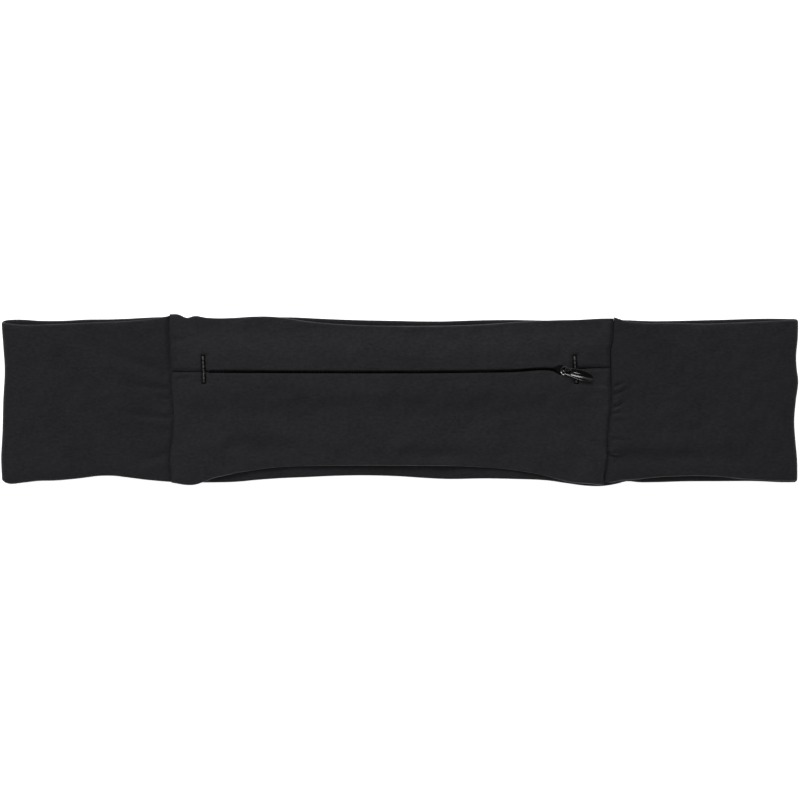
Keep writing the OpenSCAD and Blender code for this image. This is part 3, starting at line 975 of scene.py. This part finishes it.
def build_allowance():
    """The band's seam allowance, tucked under the panel at the left seam and seen once the loop opens."""
    y = spaced(panel_bottom(SEAM_L) + 0.5, panel_top(SEAM_L) - 0.5, 1.0)[:, None]
    outer = SEAM_L - 0.7 + np.minimum(seam_drift(np.full_like(y, SEAM_L), y), 0)
    x = outer + (SEAM_L + 0.25 - outer) * np.linspace(0, 1, 6)
    flap = flat_sheet("seam_allowance_left", x, y, FRONT_Z + 0.14, 0.11, BAND_KNIT)
    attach(flap, "left_front")


def build_label():
    lo, hi = box("care_label")
    x, y = np.meshgrid(spaced(lo[0] + 3.0, hi[0], 0.8), spaced(lo[1], hi[1], 1.0), indexing="ij")
    z = (lo[2] + hi[2]) / 2 + 0.05 * np.sin(x / 2.3) * np.sin(y / 4.1)
    x = x + 0.6 + seam_drift(x, y)
    label = flat_sheet("blank_label", x, y, z, 0.07, LABEL_SATIN)
    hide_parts("care_label")
    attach(label, "front")


# ---------- zip ----------


def build_tapes():
    """The zip's two tapes, spread by the slider past its wide end."""
    for part, side in (("upper", 1), ("lower", -1)):
        lo, hi = box("zip_tape_" + part)
        inner = ZIP_Y + side * 1.85
        outer = hi[1] if side > 0 else lo[1]
        across = inner + (outer - inner) * np.linspace(0, 1, 9)
        x, y = np.meshgrid(spaced(lo[0], hi[0], 2.0), across, indexing="ij")
        spread = 1.25 * smooth((x - SLIDER_X + 1.2) / 2.8) * side
        y = y + spread * (1 - np.abs(y - inner) / abs(outer - inner))
        z = (lo[2] + hi[2]) / 2 + 0.04 * np.sin(x / 3.1) * np.abs(y - inner) / 10
        selvedge = np.array([1, 1, 1, 1, 1, 1, 1, 0.9, 0.5])
        half = (hi[2] - lo[2]) * 0.46 * selvedge
        tape = flat_sheet("woven_tape_" + part, x, y, z, half, TAPE_TWILL)
        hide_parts("zip_tape_" + part)
        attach(tape, "front")


def build_tape_stitching():
    lo, hi = box("zip_stitching")
    pitch, length = 3.0, 2.0
    rows_y = (lo[1] + 0.15, hi[1] - 0.15)
    starts = [(x, y, lo[2] + 0.12) for y in rows_y for x in np.arange(lo[0], hi[0] - length, pitch)]
    ends = np.array(starts) + (length, 0, 0)
    rows = stitches("tape_stitching", starts, ends, 0.12, 0.25, SEAM_THREAD)
    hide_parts("zip_stitching")
    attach(rows, "front")


def build_bartacks():
    """Dark zigzag stitches over a core of lengthwise threads whose light tone is a painted highlight along
    the tack's ridge, closing both ends of the slit.
    """
    reach = 1.2
    for side, x0, shift, tilt in (("left", TACK_L, -0.4, -0.5), ("right", TACK_R, 0.0, -1.0)):
        lo, hi = box("bartack_" + side)
        rng = np.random.default_rng(3)
        low, high = lo[1] + TACK_LIFT, hi[1]

        def place(x, y):
            x = x0 + x + shift + tilt * ((y - low) / (high - low) - 0.5)
            return np.stack([x, y, panel_height(x, y)], -1)

        def zigzag(y, width, lift):
            jitter = rng.uniform(-0.12, 0.12, (len(y), 2))
            slope = np.where(np.arange(len(y)) % 2, 0.12, -0.12)
            starts, ends = place(-width + jitter[:, 0], y - slope), place(width + jitter[:, 1], y + slope)
            return starts + lift * UP, ends + lift * UP

        # The near-black under zigzag is partly painted shade round the tack's dimple.
        under = zigzag(np.arange(low - 0.3, high + 0.3, 0.6), reach, 0.12)
        over = zigzag(np.arange(low + 1.4, high - 1.0, 1.85), 0.8, 0.92)
        starts, ends = np.concatenate([under[0], over[0]]), np.concatenate([under[1], over[1]])
        tack = stitches("tack_zigzag_" + side, starts, ends, 0.17, 0.2, TACK_DARK)
        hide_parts("bartack_" + side)
        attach(tack, "front")

        # Painted highlight: the core threads are light so that the tack's raised ridge looks lit.
        y = np.linspace(low + 0.1, high - 0.1, 60)
        from_end = np.clip(np.minimum(y - low, high - y), 0, 1)
        strands = []
        for k, offset in enumerate((-0.2, 0.0, 0.2)):
            path = place(offset + 0.05 * np.sin(y * 2.1 + k * 2), y)
            path[:, 2] += 0.95 + 0.05 * np.sin(y * 3.4 + k) - 0.5 * (1 - from_end)
            strands.append(swept(path, circle(0.14, 8), (1.0, 0.0, 0.0)))
        highlight_core = join("tack_highlight_core_" + side, strands, TACK_HIGHLIGHT_THREAD)
        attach(highlight_core, "front")


def finish_node(node, material, bevel=None):
    """Gives a CAD node its material, and rounds its edges where bevel is set."""
    obj = frame["nodes"][node]
    obj.data.materials.clear()
    obj.data.materials.append(material)
    if bevel:
        modifier = obj.modifiers.new("Rounding", "BEVEL")
        modifier.width = bevel * MM
        modifier.segments = 3
        modifier.limit_method = "ANGLE"
        modifier.angle_limit = math.radians(40)


def build_chain():
    # The coil and slider are near black, partly painted shade inside the slit.
    finish_node("zip_coil_upper", COIL_NYLON)
    finish_node("zip_coil_lower", COIL_NYLON)
    finish_node("zip_top_stops", SLIDER_METAL, 0.25)
    finish_node("zip_bottom_stop", SLIDER_METAL, 0.25)
    finish_node("slider_body", SLIDER_METAL, 0.14)


# ---------- bail and pull tab ----------


def build_bail():
    """Neck, domed saddle and hoop, round the same hinge as the CAD bail."""
    lo, hi = box("slider_bail")
    bar, corner = 0.6, 0.75
    saddle_z = LIP_TOP + 0.1
    reach = 1.9 - bar / 2
    shoulder = hi[2] - bar / 2 - corner
    turn = np.radians(np.linspace(180, 0, 15))[1:]
    leg = np.linspace(saddle_z + 0.2, shoulder, 4)
    arch_x = reach * np.sign(np.cos(turn)) * np.abs(np.cos(turn)) ** 0.8
    x = np.concatenate([np.full(4, -reach), arch_x, np.full(3, reach)])
    z = np.concatenate([leg, shoulder + corner * np.sin(turn), leg[-2::-1]])
    hoop = swept(np.stack([x, 0 * x, z], -1), rounded_section(0.78, bar), (0.0, 1.0, 0.0))

    r = (hi[0] - lo[0]) / 2
    saddle = [
        (0.3, 0), (r - 0.25, 0), (r - 0.03, 0.08), (r, 0.18), (r - 0.1, 0.26),
        (r - 0.5, 0.41), (r - 0.9, 0.54), (r - 1.05, 0.5), (r - 1.3, 0.36), (0.3, 0.3),
    ]
    dome = lathe([(radius, saddle_z + rise) for radius, rise in saddle])
    neck = lathe([(0.2, lo[2]), (0.5, lo[2] + 0.01), (0.5, saddle_z + 0.1), (0.2, saddle_z + 0.12)])
    neck = (neck[0] * (3.4, 0.94, 1.0), neck[1])
    bail = join("bail_crown", [hoop, dome, neck], BAIL_METAL)
    bail.data.transform(Matrix.Translation((SLIDER_X * MM, ZIP_Y * MM, 0)))
    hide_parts("slider_bail")
    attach(bail, "slider")


TAB_LENGTH = 13.9
TAB_THICK = 1.1
PLATE_FROM = 2.6


def tab_half_width(t, narrow=1.9, wide=2.55, widest=0.6):
    """Half the width of the drop at a distance t from the hinge."""
    u = t / TAB_LENGTH
    grow = narrow + (wide - narrow) * np.sin(np.clip(u / widest, 0, 1) * math.pi / 2) ** 2
    close = wide * np.sqrt(np.clip(1 - (np.clip((u - widest) / (1 - widest), 0, 1)) ** 2, 0, 1))
    return np.where(u < widest, grow, close)


def tab_plate():
    """The drop: bevelled along one side, with a faint groove down its middle and a bow towards its tip."""
    t = PLATE_FROM + (TAB_LENGTH - PLATE_FROM) * np.sin(np.linspace(0, math.pi / 2, 60))[:, None]
    across = np.sin(np.linspace(-math.pi / 2, math.pi / 2, 81))
    half_width = np.maximum(tab_half_width(t), 0.05)
    y = half_width * across
    bevel = 0.4 * smooth(0.5 - (y + 1.3 - 0.04 * t) / 1.55) + 0.12 * smooth((y - 1.4) / 1.1)
    groove = 0.17 * bell(y, 0.04, 0.40) * smooth((t - PLATE_FROM - 0.3) / 1) * smooth((9.8 - t) / 3.5)
    bow = 0.011 * np.clip(t - 7.7, 0, 5.8) ** 2
    thin = (bevel + groove + bow) / 2
    from_ring = t - PLATE_FROM + 0.2 + smooth((np.abs(y) - 0.8) / 0.3)
    from_end = np.minimum(from_ring, TAB_LENGTH - t)
    edge = np.minimum(half_width * (1 - np.abs(across)), from_end)
    roundness = np.sqrt(np.clip(1 - (1 - np.clip(edge / 0.3, 0, 1)) ** 2, 0.03, 1))
    mid = np.stack([np.broadcast_to(t, y.shape), y, -thin], -1)
    rings = shell_rings(mid, UP, (TAB_THICK / 2 - thin) * roundness)
    return rings.reshape(-1, 3), ring_faces(rings.shape[0], rings.shape[1], True)


def tab_ring():
    """The bent bar that joins the plate to the bail, widening towards the plate."""
    arm_y, bend = 1.42, 0.55
    quarter = np.radians(np.linspace(0, 90, 8))[1:]
    arm_x = np.linspace(PLATE_FROM + 0.5, bend, 6)
    bar_y = arm_y - bend
    x = np.concatenate([arm_x, bend - bend * np.sin(quarter), [0, 0]])
    y = np.concatenate([np.full(6, arm_y), bar_y + bend * np.cos(quarter), [bar_y / 2, 0]])
    x, y = np.concatenate([x, x[-2::-1]]), np.concatenate([y, -y[-2::-1]])
    width = 0.56 + 0.39 * smooth(x)
    bevelled = np.array(
        [(-0.5, -0.9), (-0.5, 0.9), (-0.35, 1.0), (0.42, 1.0),
         (0.5, 0.85), (0.2, -0.85), (0.08, -1.0), (-0.35, -1.0)]
    )
    section = np.stack([bevelled[:, 0] + 0 * width[:, None], bevelled[:, 1] * width[:, None] / 2], -1)
    return swept(np.stack([x, y, 0 * x], -1), section, UP)


def build_tab():
    """Drop-shaped pull tab, turned as the hinge is."""
    hinge = joint("pull_swing")
    turn = math.atan2(hinge["axis"][0], -hinge["axis"][1])
    tab = join("drop_pull", [tab_plate(), tab_ring()], TAB_METAL)
    tab.data.transform(Matrix.Translation(hinge["pos_m"]) @ Matrix.Rotation(turn, 4, "Z"))
    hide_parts("pull_tab")
    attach(tab, "puller")


# ---------- stage ----------


def build_stage():
    size, drop = 6.0, 0.00005
    mesh = bpy.data.meshes.new("floor")
    corners = [(-size, -size, -drop), (size, -size, -drop), (size, size, -drop), (-size, size, -drop)]
    mesh.from_pydata(corners, [], [(0, 1, 2, 3)])
    pale = Nodes(bpy.data.materials.new("pale_floor")).finish(
        Base_Color=(0.92, 0.92, 0.92, 1),
        Roughness=0.9,
        Specular_IOR_Level=0.1,
        Emission_Color=(1, 1, 1, 1),
        Emission_Strength=0.7,
    )
    floor = bpy.data.objects.new("floor", mesh)
    floor.data.materials.append(pale)
    bpy.context.scene.collection.objects.link(floor)


def build_world():
    """A pale dome that darkens overhead, and is dimmer where the metal mirrors it."""
    sky = Nodes(bpy.data.worlds.new("studio"), "Background")
    height = sky.add("SeparateXYZ", Vector=sky.add("TexCoord").outputs["Generated"]).outputs[2]
    reach = {"From_Min": 0.78, "From_Max": 0.97, "To_Min": 0.5, "To_Max": 0.08}
    dome = sky.add("MapRange", interpolation_type="SMOOTHSTEP", Value=height, **reach)
    mirrored = sky.add("LightPath").outputs["Is Glossy Ray"]
    dimming = sky.math("MULTIPLY_ADD", mirrored, -0.6, 1.0)
    strength = sky.math("MULTIPLY", dimming, dome.outputs["Result"])
    bpy.context.scene.world = sky.finish(Color=(1, 1, 1, 1), Strength=strength)


def area_light(name, place, target, size, power):
    data = bpy.data.lights.new(name, "AREA")
    data.shape = "RECTANGLE"
    data.size, data.size_y = size
    data.energy = power
    lamp = bpy.data.objects.new(name, data)
    bpy.context.scene.collection.objects.link(lamp)
    lamp.location = place
    lamp.rotation_euler = (Vector(target) - Vector(place)).to_track_quat("-Z", "Y").to_euler()
    return lamp


def build_light():
    """A soft box above the belt's top edge, a weak fill below it, and glints that only the metal shows."""
    centre, tab_place = (0, 0, 0), (0.08, 0, 0)
    soft_box = area_light("key", (-0.1, 1.15, 0.85), centre, (1.2, 0.6), 22.5)
    soft_box.visible_glossy = False
    glints = [
        area_light("glint", (-0.2, -0.79, 0.93), tab_place, (0.36, 0.35), 2.8),
        area_light("glint_left", (-0.7, -0.38, 0.93), tab_place, (0.22, 0.25), 3.2),
        area_light("glint_top", (-0.1, 1.15, 0.85), tab_place, (1.2, 0.6), 0.8),
    ]
    for glint in glints:
        glint.visible_diffuse = False
    area_light("fill", (-0.45, -0.9, 0.8), centre, (0.9, 0.4), 3.0)


def build_camera():
    """Straight down, so that the belt fills the frame's width as it lies."""
    frame_width = 0.384
    data = bpy.data.cameras.new("camera")
    data.lens, data.sensor_width = 120, 36
    camera = bpy.data.objects.new("camera", data)
    bpy.context.scene.collection.objects.link(camera)
    camera.location = (0.0002, 0, frame_width * data.lens / data.sensor_width + FRONT_TOP * MM)
    bpy.context.scene.camera = camera


build_band()
build_panel()
build_backing()
build_seams()
build_allowance()
build_tapes()
build_tape_stitching()
build_bartacks()
build_chain()
build_label()
build_bail()
build_tab()
build_stage()
build_world()
build_light()
build_camera()
bpy.context.scene.view_settings.view_transform = "Standard"
